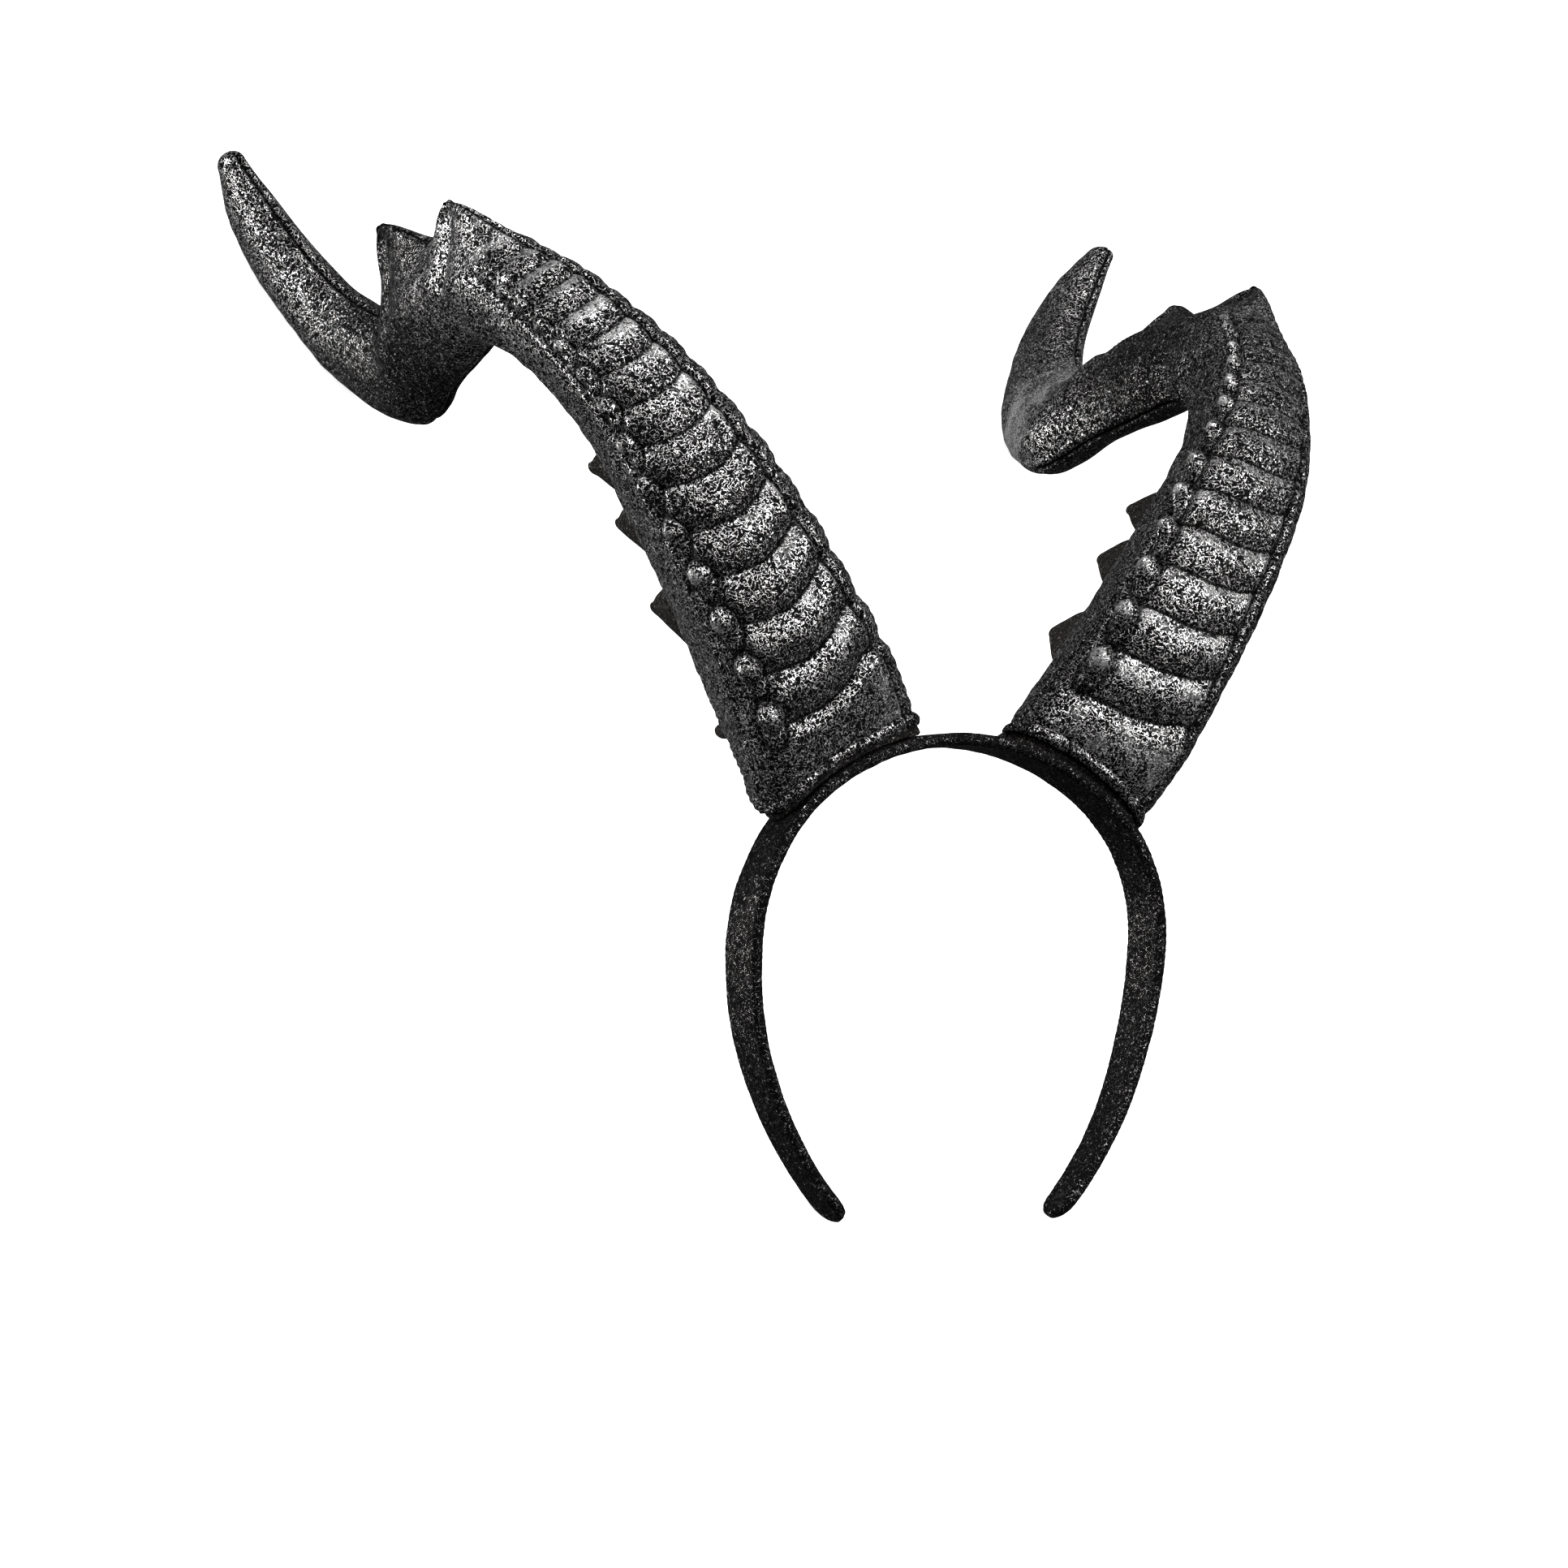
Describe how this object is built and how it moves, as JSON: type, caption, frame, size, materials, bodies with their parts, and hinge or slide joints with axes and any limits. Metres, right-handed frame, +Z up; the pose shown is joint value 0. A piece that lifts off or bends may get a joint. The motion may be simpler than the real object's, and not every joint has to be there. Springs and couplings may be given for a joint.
{
  "type": "dragon horns headband",
  "caption": "Costume headband: a fabric-covered C-shaped band that carries stuffed, ribbed dragon horns with thorns, back spikes and hooked, upturned tips.",
  "frame": {"origin": "middle of the headband's footprint, on the surface it lies on", "axes": "+Z up from the surface, +X to the right of someone facing the headband's front, +Y from the band's leg ends towards the horns"},
  "size_m": [0.3712, 0.4048, 0.1596],
  "materials": {
    "band_fabric": "black fabric with fine silver foil specks",
    "horn_foil": "black fabric with crackled silver foil",
    "spike_fabric": "dull grey-black fabric with faint foil"
  },
  "bodies": {
    "root": {"headband": "band_fabric", "left_horn": "horn_foil", "right_horn": "horn_foil", "left_base": "spike_fabric", "right_base": "spike_fabric", "left_spike_1": "spike_fabric", "left_spike_2": "spike_fabric", "left_spike_3": "spike_fabric", "left_spike_4": "spike_fabric", "right_spike_1": "spike_fabric", "right_spike_2": "spike_fabric", "right_spike_3": "spike_fabric", "right_spike_4": "spike_fabric"}
  },
  "joints": []
}
